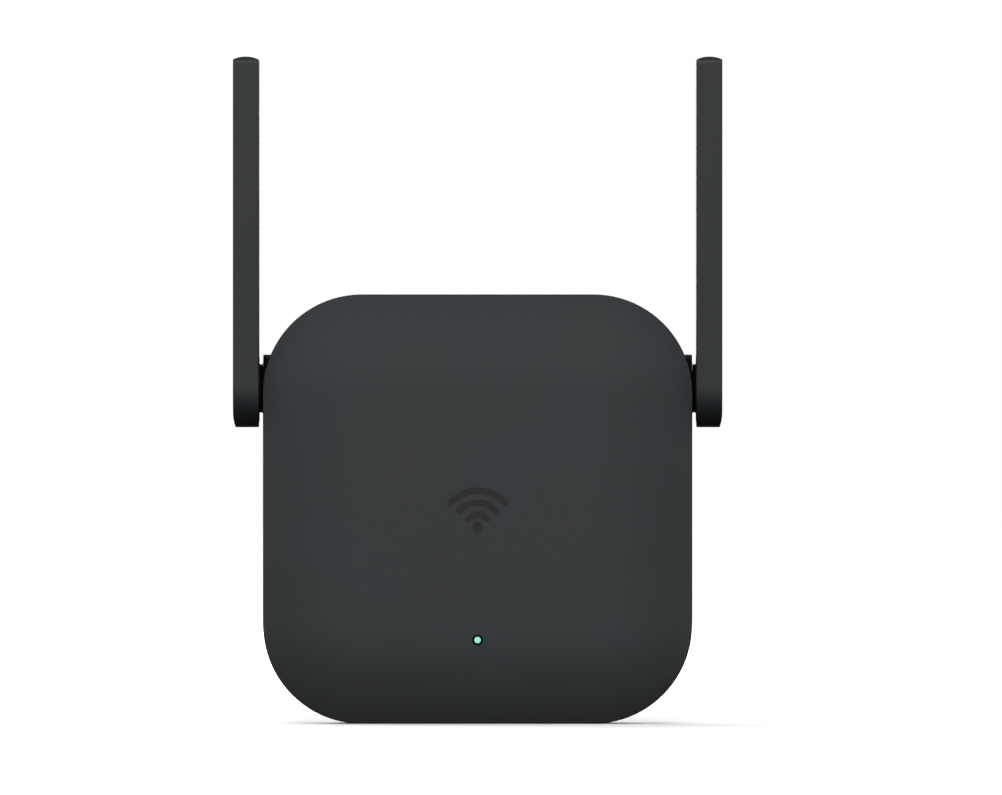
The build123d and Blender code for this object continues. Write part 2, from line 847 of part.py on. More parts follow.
with BuildPart() as shield_frame:
    with BuildSketch(at_depth(main_front_depth)):
        with Locations(shield_spot):
            Rectangle(shield_width, shield_height)
            offset(amount=-shield_frame_wall, kind=Kind.INTERSECTION, mode=Mode.SUBTRACT)
    extrude(amount=shield_frame_height)
finish_piece(shield_frame, "shield_frame")

can_play_width = shield_width + 2 * shield_play
can_play_height = shield_height + 2 * shield_play
with BuildPart() as shield_can:
    with BuildSketch(at_depth(main_front_depth + shield_lift)):
        with Locations(shield_spot):
            Rectangle(can_play_width + 2 * shield_sheet, can_play_height + 2 * shield_sheet)
    extrude(amount=shield_can_height)
    with BuildSketch(at_depth(main_front_depth + shield_lift)):
        with Locations(shield_spot):
            Rectangle(can_play_width, can_play_height)
    extrude(amount=shield_can_height - shield_sheet, mode=Mode.SUBTRACT)
finish_piece(shield_can, "shield_can")

with BuildPart() as heat_spreader:
    with BuildSketch(at_depth(main_front_depth + spreader_lift)):
        with Locations(spreader_spot):
            RectangleRounded(*spreader_size, spreader_corner)
    extrude(amount=spreader_thickness)
finish_piece(heat_spreader, "heat_spreader")

# ---- Reset switch: a shouldered plunger that slides up in a slot in the switch body ----

switch_mid_z = switch_foot_z + switch_size[1] / 2
shoulder_z = switch_foot_z + plunger_shoulder + slot_gap
pocket_height = plunger_shoulder + plunger_travel_room
with BuildPart() as reset_switch_body:
    add(block((switch_x, switch_mid_z), main_front_depth, switch_size).part)
    with BuildSketch(at_depth(switch_mid_depth)):
        with Locations((switch_x, switch_foot_z)):
            Rectangle(plunger_width + 2 * slot_gap, pocket_height, align=(Align.CENTER, Align.MIN))
        with Locations((switch_x, shoulder_z)):
            pocket_width = plunger_shoulder_width + 4 * slot_gap
            Rectangle(pocket_width, pocket_height, align=(Align.CENTER, Align.MIN))
    extrude(amount=plunger_thickness / 2 + slot_gap, both=True, mode=Mode.SUBTRACT)
finish_piece(reset_switch_body, "reset_switch_body")

with BuildPart() as reset_plunger:
    with BuildSketch(at_depth(switch_mid_depth)):
        with Locations((switch_x, plunger_foot_z)):
            stem_height = shoulder_z + slot_gap + plunger_shoulder - plunger_foot_z
            Rectangle(plunger_width, stem_height, align=(Align.CENTER, Align.MIN))
        with Locations((switch_x, shoulder_z + slot_gap)):
            Rectangle(plunger_shoulder_width, plunger_shoulder, align=(Align.CENTER, Align.MIN))
    extrude(amount=plunger_thickness / 2, both=True)
finish_piece(reset_plunger, "reset_plunger")

# ---- Antennas: one side, then its mirror image ----

blade_mid_x = (blade_inner_x + blade_outer_x) / 2
blade_length = blade_top_z - pivot_z
blade_foot_z = pivot_z - blade_half_width
blade_back = Plane.XZ.offset(pivot_depth - blade_half_width)


def blade_outline(inset, top_corner):
    """The antenna's broad outline: a half round about the pivot and a squared top."""
    side = blade_half_width - inset
    with BuildSketch() as outline:
        with Locations((0, (blade_length - inset) / 2)):
            Rectangle(2 * side, blade_length - inset)
        Circle(side)
        corners = outline.vertices().sort_by(Axis.Y)[-2:]
        fillet(corners, top_corner)
    return outline.sketch


with BuildPart() as antenna_shell:
    with BuildSketch(pivot_plane(blade_inner_x)):
        add(blade_outline(0, blade_corner))
    extrude(amount=blade_outer_x - blade_inner_x)
    # the top is arched across the blade's thickness
    with BuildSketch(blade_back):
        with BuildLine():
            arch_foot_z = blade_top_z - blade_top_rise
            Polyline(
                (blade_inner_x, arch_foot_z), (blade_inner_x, blade_foot_z),
                (blade_outer_x, blade_foot_z), (blade_outer_x, arch_foot_z),
            )
            ThreePointArc(
                (blade_outer_x, arch_foot_z), (blade_mid_x, blade_top_z), (blade_inner_x, arch_foot_z),
            )
        make_face()
    extrude(amount=2 * blade_half_width, mode=Mode.INTERSECT)
    broad_faces = antenna_shell.faces().filter_by(Axis.X)
    fillet(broad_faces.edges(), blade_edge)
    # the outer face rolls in at the foot
    with BuildSketch(blade_back):
        with BuildLine():
            roll_start = (blade_outer_x, blade_foot_z + blade_foot_height)
            roll_end = (blade_outer_x - blade_foot_roll, blade_foot_z)
            TangentArc(roll_start, roll_end, tangent=(0, -1))
            Polyline(roll_end, (blade_outer_x + opening_room, blade_foot_z), roll_start)
        make_face()
    extrude(amount=2 * blade_half_width, mode=Mode.SUBTRACT)
    # the hollow, open on the inner side, where the cover closes it
    with BuildSketch(pivot_plane(blade_inner_x)):
        add(blade_outline(blade_wall, blade_corner - blade_wall))
    extrude(amount=blade_outer_x - blade_wall - blade_inner_x, mode=Mode.SUBTRACT)
finish_pair(antenna_shell, "antenna_shell")

with BuildPart() as antenna_cover:
    with BuildSketch(pivot_plane(blade_inner_x)):
        add(blade_outline(blade_wall + fit_gap, blade_corner - blade_wall))
    extrude(amount=cover_thickness)
    with BuildSketch(pivot_plane(blade_inner_x - pad_proud)):
        Circle(blade_half_width - blade_wall - fit_gap)
    extrude(amount=pad_proud)
    with BuildSketch(pivot_plane(blade_inner_x - pad_proud)):
        Circle(neck_radius + fit_gap)
    extrude(amount=cover_thickness + pad_proud, mode=Mode.SUBTRACT)
finish_pair(antenna_cover, "antenna_cover")

with BuildPart() as hinge_bush:
    with BuildSketch(pivot_plane(bush_inner_x)):
        Circle(bush_boss_radius)
    extrude(amount=bush_step_x - bush_inner_x)
    with BuildSketch(pivot_plane(bush_step_x)):
        Circle(hub_radius)
    extrude(amount=half - bush_step_x)
    fillet(hinge_bush.faces().sort_by(Axis.X)[-1].edges(), hub_edge)
    with BuildSketch(pivot_plane(bush_inner_x)):
        Circle(bore_radius)
    extrude(amount=half - bush_inner_x, mode=Mode.SUBTRACT)
finish_both(hinge_bush, "hinge_bushes")

head_x = blade_inner_x + cover_thickness + fit_gap
with BuildPart() as hinge_post:
    with BuildSketch(pivot_plane(shaft_end_x)):
        Circle(shaft_radius)
    extrude(amount=head_x - shaft_end_x)
    # the neck between case and blade flares out at both ends
    with BuildSketch(Plane.XY.offset(pivot_z)):
        with BuildLine():
            neck_start = half + neck_gap
            neck_end = blade_inner_x - pad_proud
            flare_radius = neck_radius + neck_flare
            Polyline(
                (neck_end, -pivot_depth + flare_radius), (neck_end, -pivot_depth),
                (neck_start, -pivot_depth), (neck_start, -pivot_depth + flare_radius),
            )
            SagittaArc(
                (neck_start, -pivot_depth + flare_radius), (neck_end, -pivot_depth + flare_radius),
                -neck_flare,
            )
        make_face()
    revolve(axis=Axis((0, -pivot_depth, pivot_z), (1, 0, 0)))
    with BuildSketch(pivot_plane(neck_end)):
        Circle(neck_radius)
    extrude(amount=head_x - neck_end)
    with BuildSketch(pivot_plane(head_x)):
        Circle(post_head_radius)
    extrude(amount=post_head)
    with BuildSketch(pivot_plane(shaft_end_x)):
        Circle(post_bore_radius)
    extrude(amount=head_x + post_head - shaft_end_x, mode=Mode.SUBTRACT)
    # groove for the retaining clip
    with BuildSketch(pivot_plane(clip_groove_x)):
        Circle(bore_radius)
        Circle(shaft_radius - clip_groove_depth, mode=Mode.SUBTRACT)
    extrude(amount=clip_thickness + 2 * fit_gap, mode=Mode.SUBTRACT)
finish_pair(hinge_post, "hinge_post")

with BuildPart() as retaining_clip:
    with BuildSketch(pivot_plane(clip_groove_x + fit_gap)):
        Circle(shaft_radius + clip_reach)
        Circle(shaft_radius - clip_groove_depth + fit_gap, mode=Mode.SUBTRACT)
        Rectangle(2 * shaft_radius, clip_mouth, align=(Align.MAX, Align.CENTER), mode=Mode.SUBTRACT)
    extrude(amount=clip_thickness)
finish_pair(retaining_clip, "retaining_clip")

with BuildPart() as friction_washer:
    with BuildSketch(pivot_plane(bush_inner_x - washer_thickness - fit_gap)):
        Circle(bush_boss_radius - washer_edge)
        Circle(shaft_radius + washer_clearance, mode=Mode.SUBTRACT)
    extrude(amount=washer_thickness)
finish_both(friction_washer, "friction_washers")

# Aerial strip and its copper, inside the blade: a straight trunk with arms to alternate sides
with BuildPart() as element_board:
    with BuildSketch(pivot_plane(element_x)):
        with Locations((0, element_foot)):
            Rectangle(element_width, element_length, align=(Align.CENTER, Align.MIN))
    extrude(amount=element_thickness)
finish_pair(element_board, "element_board")

copper_foot = element_foot + copper_rise
with BuildPart() as radiator:
    with BuildSketch(pivot_plane(element_x + element_thickness)):
        with Locations((0, copper_foot)):
            Rectangle(arm_width, copper_length, align=(Align.CENTER, Align.MIN))
        for arm in range(arm_count):
            side = -1 if arm % 2 else 1
            with Locations((side * arm_length / 3, copper_foot + arm_width + arm_pitch * arm)):
                Rectangle(arm_length, arm_width)
    extrude(amount=copper)
finish_pair(radiator, "radiator")

# The lead inside the blade runs through the hollow post, turns up and ends on the aerial strip
lead_x = element_x + element_thickness + coax_radius + fit_gap
with BuildPart() as antenna_coax:
    with BuildLine(Plane.XZ.offset(pivot_depth)) as antenna_route:
        FilletPolyline(
            (shaft_end_x, pivot_z), (lead_x, pivot_z),
            (lead_x, pivot_z + element_foot + antenna_lead_rise),
            radius=antenna_coax_bend,
        )
    with BuildSketch(Plane(origin=(shaft_end_x, -pivot_depth, pivot_z), z_dir=(1, 0, 0))):
        Circle(coax_radius)
    sweep(path=antenna_route.wire())
finish_pair(antenna_coax, "antenna_coax")

# ---- Leads inside the case ----

coax_plug_x, coax_plug_z = coax_plug_spot
lead_depth = main_board_depth - coax_socket_height - 1.2
case_route_points = (
    (shaft_end_x - coax_clearance, -pivot_depth, pivot_z),
    (27.5, -pivot_depth, pivot_z),
    (23.5, -lead_depth, coax_plug_z + case_coax_bend),
    (coax_plug_x + coax_plug_radius - coax_clearance, -lead_depth, coax_plug_z),
)
with BuildPart() as coax_lead:
    with BuildLine() as case_route:
        FilletPolyline(*case_route_points, radius=case_coax_bend)
    with BuildSketch(Plane(origin=case_route_points[0], z_dir=(-1, 0, 0))):
        Circle(coax_radius)
    sweep(path=case_route.wire())
finish_pair(coax_lead, "coax_lead")

with BuildPart() as coax_plug:
    with BuildSketch(at_depth(lead_depth - coax_radius)):
        with Locations(coax_plug_spot):
            Circle(coax_plug_radius)
    extrude(amount=main_board_depth - coax_socket_height - fit_gap - lead_depth + coax_radius)
    add(coax_lead.part, mode=Mode.SUBTRACT)
finish_both(coax_plug, "coax_plugs")

with BuildPart() as coax_sockets:
    with BuildSketch(at_depth(main_board_depth - coax_socket_height)):
        with Locations(coax_plug_spot, (-coax_plug_x, coax_plug_z)):
            Rectangle(coax_socket_side, coax_socket_side)
    extrude(amount=coax_socket_height)
finish_piece(coax_sockets, "coax_sockets")
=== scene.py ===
from math import radians

import bmesh
import bpy
from mathutils import Euler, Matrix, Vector


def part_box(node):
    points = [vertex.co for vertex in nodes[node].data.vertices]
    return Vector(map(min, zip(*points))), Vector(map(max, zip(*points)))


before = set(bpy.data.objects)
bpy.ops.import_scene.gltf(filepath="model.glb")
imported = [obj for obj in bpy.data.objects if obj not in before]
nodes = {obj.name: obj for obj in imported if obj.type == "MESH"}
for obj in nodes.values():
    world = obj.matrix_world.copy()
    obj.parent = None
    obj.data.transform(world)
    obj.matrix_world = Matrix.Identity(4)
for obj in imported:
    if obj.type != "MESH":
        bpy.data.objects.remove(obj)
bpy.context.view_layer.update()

scene = bpy.context.scene
MM = 0.001

# ---- Colour and node helpers ----


def linear(hex_colour):
    """An sRGB hex colour as linear RGBA."""
    channels = [int(hex_colour[i:i + 2], 16) / 255 for i in (1, 3, 5)]
    return [c / 12.92 if c <= 0.04045 else ((c + 0.055) / 1.055) ** 2.4 for c in channels] + [1.0]


def add_node(material, kind, settings=None, inputs=None):
    """Add one shader node, with its settings, and inputs that are either values or output sockets."""
    node = material.node_tree.nodes.new(kind)
    for name, value in (settings or {}).items():
        setattr(node, name, value)
    for name, value in (inputs or {}).items():
        if isinstance(value, bpy.types.NodeSocket):
            material.node_tree.links.new(value, node.inputs[name])
        else:
            node.inputs[name].default_value = value
    return node


def new_material(name):
    """An empty node material."""
    material = bpy.data.materials.new(name)
    material.use_nodes = True
    material.node_tree.nodes.clear()
    return material


def place_mm(material, stretch=(1, 1, 1)):
    """The surface point in millimetres, fixed to the piece, optionally stretched along an axis."""
    place = add_node(material, "ShaderNodeTexCoord")
    scaled = add_node(
        material, "ShaderNodeVectorMath", {"operation": "MULTIPLY"},
        {0: place.outputs["Object"], 1: [factor / MM for factor in stretch]},
    )
    return scaled.outputs[0]


def ramp(material, factor, stops, interpolation="LINEAR"):
    """A colour ramp over hex colours, given as (position, colour) stops."""
    node = add_node(material, "ShaderNodeValToRGB", inputs={"Fac": factor})
    node.color_ramp.interpolation = interpolation
    elements = node.color_ramp.elements
    while len(elements) < len(stops):
        elements.new(0.5)
    for element, (position, colour) in zip(elements, stops):
        element.position = position
        element.color = linear(colour)
    return node.outputs["Color"]


def finish_surface(material, colour, roughness, height, depth_mm, settings):
    """Close a material: the principled surface with its colour, roughness range and relief."""
    bump = add_node(
        material, "ShaderNodeBump", inputs={"Strength": 1.0, "Distance": depth_mm * MM, "Height": height}
    )
    surface = add_node(
        material, "ShaderNodeBsdfPrincipled",
        inputs={"Base Color": colour, "Roughness": roughness, "Normal": bump.outputs[0], **settings},
    )
    add_node(material, "ShaderNodeOutputMaterial", inputs={"Surface": surface.outputs[0]})
    return material


def spread(material, factor, low, high):
    """A pattern's 0.3 to 0.7 middle range spread over low to high."""
    node = add_node(
        material, "ShaderNodeMapRange",
        inputs={"Value": factor, "From Min": 0.3, "From Max": 0.7, "To Min": low, "To Max": high},
    )
    return node.outputs[0]


# ---- Plastics ----

# Fine moulded grain, and the turning marks, rolling streaks and ceramic grains further down, are too small
# to show with the whole object in view, so each is drawn as coarse as it needs to be to show.
FLOW_MARK_MM = 22.0
PITS_PER_GRAIN = 0.55


def etched_plastic(name, dark, light, roughness, grain_mm, depth_mm, settings=None):
    """A thermoplastic from an etched mould: an even grain of tiny pits scatters every highlight
    into a soft sheen, and the tone drifts very slightly where the melt flowed."""
    material = new_material(name)
    place = place_mm(material)
    flow = add_node(
        material, "ShaderNodeTexNoise",
        inputs={"Vector": place, "Scale": 1 / FLOW_MARK_MM, "Detail": 3.0, "Roughness": 0.5},
    )
    grain = add_node(
        material, "ShaderNodeTexNoise",
        inputs={"Vector": place, "Scale": 1 / grain_mm, "Detail": 2.0, "Roughness": 0.6},
    )
    pits = add_node(
        material, "ShaderNodeTexVoronoi", inputs={"Vector": place, "Scale": PITS_PER_GRAIN / grain_mm}
    )
    height = add_node(
        material, "ShaderNodeMath", {"operation": "MULTIPLY_ADD"},
        {0: pits.outputs["Distance"], 1: 0.45, 2: grain.outputs["Fac"]},
    )
    tone = add_node(
        material, "ShaderNodeMath", {"operation": "MULTIPLY_ADD"},
        {0: grain.outputs["Fac"], 1: 0.35, 2: flow.outputs["Fac"]},
    )
    colour = ramp(material, tone.outputs[0], ((0.45, dark), (0.9, light)))
    gloss = spread(material, flow.outputs["Fac"], roughness - 0.03, roughness + 0.03)
    details = {"IOR": 1.54, **(settings or {})}
    return finish_surface(material, colour, gloss, height.outputs[0], depth_mm, details)


def polished_plastic(name, dark, light, roughness, ripple_mm, settings=None):
    """A plastic from a polished mould: clear reflections that only a slow ripple of shrinkage and
    a trace of handling haze break up."""
    material = new_material(name)
    place = place_mm(material)
    ripple = add_node(
        material, "ShaderNodeTexNoise", inputs={"Vector": place, "Scale": 1 / ripple_mm, "Detail": 1.0}
    )
    haze = add_node(
        material, "ShaderNodeTexNoise",
        inputs={"Vector": place, "Scale": 4 / ripple_mm, "Detail": 4.0, "Roughness": 0.65},
    )
    colour = ramp(material, haze.outputs["Fac"], ((0.3, dark), (0.7, light)))
    gloss = spread(material, haze.outputs["Fac"], roughness - 0.03, roughness + 0.05)
    details = {"IOR": 1.5, **(settings or {})}
    return finish_surface(material, colour, gloss, ripple.outputs["Fac"], 0.01, details)


# ---- Metals ----

# A wave texture repeats every 0.314 / scale, so its bands lie 0.63 of the size that divides this apart.
WAVE_SCALE = 0.5
TARNISH_MM = 2.5


def turned_metal(name, dark, light, roughness, groove_mm):
    """A round piece plated over turning marks: fine rings along the wall's axis, as on the pins and the
    case screws, that draw highlights into bright bands."""
    material = new_material(name)
    place = place_mm(material)
    rings = add_node(
        material, "ShaderNodeTexWave", {"wave_type": "BANDS", "bands_direction": "Y"},
        {"Vector": place, "Scale": WAVE_SCALE / groove_mm,
         "Distortion": 0.6, "Detail": 2.0, "Detail Scale": 2.0},
    )
    tarnish = add_node(
        material, "ShaderNodeTexNoise", inputs={"Vector": place, "Scale": 1 / TARNISH_MM, "Detail": 4.0}
    )
    colour = ramp(material, tarnish.outputs["Fac"], ((0.3, dark), (0.7, light)))
    gloss = spread(material, tarnish.outputs["Fac"], roughness + 0.05, roughness - 0.03)
    return finish_surface(material, colour, gloss, rings.outputs["Fac"], 0.004, {"Metallic": 1.0})


def rolled_metal(name, dark, light, roughness, streak_mm):
    """Sheet metal with the rolling direction left in it: long faint streaks that stretch highlights
    across the sheet."""
    streak_stretch = (0.04, 1, 1)
    material = new_material(name)
    place = place_mm(material, streak_stretch)
    streaks = add_node(
        material, "ShaderNodeTexNoise",
        inputs={"Vector": place, "Scale": 1 / streak_mm, "Detail": 3.0, "Roughness": 0.6},
    )
    colour = ramp(material, streaks.outputs["Fac"], ((0.25, dark), (0.75, light)))
    gloss = spread(material, streaks.outputs["Fac"], roughness - 0.05, roughness + 0.07)
    return finish_surface(material, colour, gloss, streaks.outputs["Fac"], 0.003, {"Metallic": 1.0})


# ---- Electronics ----


def solder_mask_board():
    """Green solder mask on glass epoxy: a glossy coat with the cloth's weave and paler copper tracks
    on a grid showing faintly through it."""
    weave_mm, track_grid_mm, stain_mm = 0.5, 2.5, 6.0
    material = new_material("solder_mask_glass_epoxy")
    place = place_mm(material)
    weave = add_node(
        material, "ShaderNodeTexWave", {"wave_type": "BANDS", "bands_direction": "X"},
        {"Vector": place, "Scale": WAVE_SCALE / weave_mm, "Distortion": 0.4},
    )
    tracks = add_node(
        material, "ShaderNodeTexBrick", {"offset": 0.5},
        {"Vector": place, "Scale": 1 / track_grid_mm, "Mortar Size": 0.06, "Mortar Smooth": 0.1,
         "Color1": linear("#14482C"), "Color2": linear("#174E30"), "Mortar": linear("#2C6B43")},
    )
    stain = add_node(
        material, "ShaderNodeTexNoise", inputs={"Vector": place, "Scale": 1 / stain_mm, "Detail": 3.0}
    )
    gloss = spread(material, stain.outputs["Fac"], 0.22, 0.34)
    lacquer = {"IOR": 1.52, "Coat Weight": 0.3}
    return finish_surface(material, tracks.outputs["Color"], gloss, weave.outputs["Fac"], 0.006, lacquer)


def moulded_epoxy():
    """Transfer-moulded epoxy packages: near black with pale specks of silica filler and a dull,
    slightly gritty surface."""
    speck_mm = 0.25
    material = new_material("moulded_epoxy_package")
    place = place_mm(material)
    filler = add_node(material, "ShaderNodeTexVoronoi", inputs={"Vector": place, "Scale": 1 / speck_mm})
    colour = ramp(
        material, filler.outputs["Distance"], ((0.05, "#3A3A3C"), (0.22, "#18181A"), (1.0, "#141416"))
    )
    gloss = spread(material, filler.outputs["Distance"], 0.5, 0.62)
    return finish_surface(material, colour, gloss, filler.outputs["Distance"], 0.008, {"IOR": 1.55})


def wound_wire():
    """Enamelled copper wire wound turn beside turn: amber-red ribs a wire's width apart, each with its
    own thin highlight."""
    wire_mm = 0.3
    material = new_material("enamelled_copper_winding")
    place = place_mm(material)
    turns = add_node(
        material, "ShaderNodeTexWave", {"wave_type": "BANDS", "bands_direction": "Y"},
        {"Vector": place, "Scale": WAVE_SCALE / wire_mm, "Distortion": 0.3, "Detail": 1.0},
    )
    colour = ramp(material, turns.outputs["Fac"], ((0.0, "#5A2410"), (0.5, "#A8521F"), (1.0, "#C8743A")))
    gloss = spread(material, turns.outputs["Fac"], 0.35, 0.25)
    return finish_surface(material, colour, gloss, turns.outputs["Fac"], 0.06, {"Metallic": 0.8})


def sintered_ferrite():
    """Sintered ferrite: a dark grey ceramic with open pores, which stays matt at every angle."""
    pore_mm = 0.2
    material = new_material("sintered_ferrite")
    place = place_mm(material)
    pores = add_node(
        material, "ShaderNodeTexNoise",
        inputs={"Vector": place, "Scale": 1 / pore_mm, "Detail": 5.0, "Roughness": 0.7},
    )
    colour = ramp(material, pores.outputs["Fac"], ((0.35, "#1E1E20"), (0.65, "#343437")))
    gloss = spread(material, pores.outputs["Fac"], 0.75, 0.6)
    return finish_surface(material, colour, gloss, pores.outputs["Fac"], 0.02, {"IOR": 1.6})


def sleeved_can():
    """An aluminium can in a shrunk vinyl sleeve: dark blue with one pale stripe along it and small
    puckers where the film drew tight."""
    stripe_mm, pucker_mm = 8.0, 0.9
    material = new_material("shrink_sleeved_can")
    place = place_mm(material)
    stripe = add_node(
        material, "ShaderNodeTexWave", {"wave_type": "BANDS", "bands_direction": "Z"},
        {"Vector": place, "Scale": WAVE_SCALE / stripe_mm, "Distortion": 0.0},
    )
    puckers = add_node(
        material, "ShaderNodeTexNoise", inputs={"Vector": place, "Scale": 1 / pucker_mm, "Detail": 2.0}
    )
    colour = ramp(material, stripe.outputs["Fac"], ((0.0, "#121C38"), (0.93, "#A9AEB8")), "CONSTANT")
    gloss = spread(material, puckers.outputs["Fac"], 0.24, 0.34)
    return finish_surface(material, colour, gloss, puckers.outputs["Fac"], 0.03, {"IOR": 1.53})


def fired_ceramic():
    """Fired multilayer chips: a tan body between matt tinned ends, with a fine kiln grain."""
    end_band_mm, kiln_grain_mm = 1.3, 0.12
    material = new_material("fired_chip_ceramic")
    place = place_mm(material)
    ends = add_node(
        material, "ShaderNodeTexWave", {"wave_type": "BANDS", "bands_direction": "X"},
        {"Vector": place, "Scale": WAVE_SCALE / end_band_mm, "Distortion": 0.0},
    )
    kiln = add_node(
        material, "ShaderNodeTexNoise", inputs={"Vector": place, "Scale": 1 / kiln_grain_mm, "Detail": 3.0}
    )
    colour = ramp(material, ends.outputs["Fac"], ((0.0, "#B9B7B0"), (0.25, "#A07C54")), "CONSTANT")
    gloss = spread(material, kiln.outputs["Fac"], 0.4, 0.55)
    return finish_surface(material, colour, gloss, kiln.outputs["Fac"], 0.006, {"IOR": 1.7})


def film_label():
    """A matt polyester label, screen printed dark grey with a paler keyline inside its edge and no
    wording; the adhesive below gives it a faint orange-peel surface."""
    keyline_inset_mm, keyline_half_mm, peel_mm = 1.2, 0.12, 0.8
    material = new_material("printed_polyester_film")
    place = place_mm(material)
    low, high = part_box("rating_label")
    middle = (low + high) / 2 / MM
    half = (high - low) / 2 / MM
    centred = add_node(
        material, "ShaderNodeVectorMath", {"operation": "SUBTRACT"}, {0: place, 1: list(middle)}
    )
    reach = add_node(material, "ShaderNodeVectorMath", {"operation": "ABSOLUTE"}, {0: centred.outputs[0]})
    inset = add_node(
        material, "ShaderNodeVectorMath", {"operation": "SUBTRACT"}, {0: list(half), 1: reach.outputs[0]}
    )
    sides = add_node(material, "ShaderNodeSeparateXYZ", inputs={0: inset.outputs[0]})
    edge = add_node(
        material, "ShaderNodeMath", {"operation": "MINIMUM"}, {0: sides.outputs["X"], 1: sides.outputs["Z"]}
    )
    keyline = add_node(
        material, "ShaderNodeMath", {"operation": "COMPARE"},
        {0: edge.outputs[0], 1: keyline_inset_mm, 2: keyline_half_mm},
    )
    peel = add_node(
        material, "ShaderNodeTexNoise", inputs={"Vector": place, "Scale": 1 / peel_mm, "Detail": 2.0}
    )
    colour = ramp(material, keyline.outputs[0], ((0.0, "#2E3133"), (0.5, "#6E7274")), "CONSTANT")
    gloss = spread(material, peel.outputs["Fac"], 0.42, 0.52)
    return finish_surface(material, colour, gloss, peel.outputs["Fac"], 0.01, {"IOR": 1.57})


def lit_polycarbonate():
    """The clear polycarbonate light pipe, carrying mint light from the lamp behind it: the middle of its
    front-facing faces glows, and their edge and its sides stay dark, its clear body drawn near black as
    painted shade for the recess it stands in."""
    bright_mm, edge_mm, dark_mm = 0.5, 0.58, 0.63
    glow_strength, haze_mm = 0.82, 0.3
    material = new_material("lit_polycarbonate_guide")
    place = place_mm(material)
    low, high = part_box("light_guide")
    middle = (low + high) / 2 / MM
    centred = add_node(
        material, "ShaderNodeVectorMath", {"operation": "SUBTRACT"}, {0: place, 1: list(middle)}
    )
    across = add_node(
        material, "ShaderNodeVectorMath", {"operation": "MULTIPLY"}, {0: centred.outputs[0], 1: (1, 0, 1)}
    )
    radius = add_node(material, "ShaderNodeVectorMath", {"operation": "LENGTH"}, {0: across.outputs[0]})
    glow = ramp(
        material, radius.outputs["Value"],
        ((0.0, "#AFF8E0"), (bright_mm, "#B6FFE8"), (edge_mm, "#7FE0C2"), (dark_mm, "#030B09")),
    )
    geometry = add_node(material, "ShaderNodeNewGeometry")
    facing = add_node(
        material, "ShaderNodeVectorMath", {"operation": "DOT_PRODUCT"},
        {0: geometry.outputs["Normal"], 1: (0, -1, 0)},
    )
    strength = add_node(
        material, "ShaderNodeMath", {"operation": "MULTIPLY", "use_clamp": True},
        {0: facing.outputs["Value"], 1: glow_strength},
    )
    haze = add_node(
        material, "ShaderNodeTexNoise", inputs={"Vector": place, "Scale": 1 / haze_mm, "Detail": 2.0}
    )
    gloss = spread(material, haze.outputs["Fac"], 0.35, 0.5)
    lit = {
        "IOR": 1.58, "Specular IOR Level": 0.15,
        "Emission Color": glow, "Emission Strength": strength.outputs[0],
    }
    # Painted shade: the clear piece is drawn near black with little reflection, for the dark recess around
    # its lit tip.
    return finish_surface(material, linear("#040706"), gloss, haze.outputs["Fac"], 0.004, lit)


def powdered_silicone():
    """A soft silicone pad filled with white powder: blue-grey, very matt and slightly lumpy."""
    return etched_plastic("filled_silicone_pad", "#6E7888", "#828C9A", 0.85, 0.5, 0.02, {"IOR": 1.42})


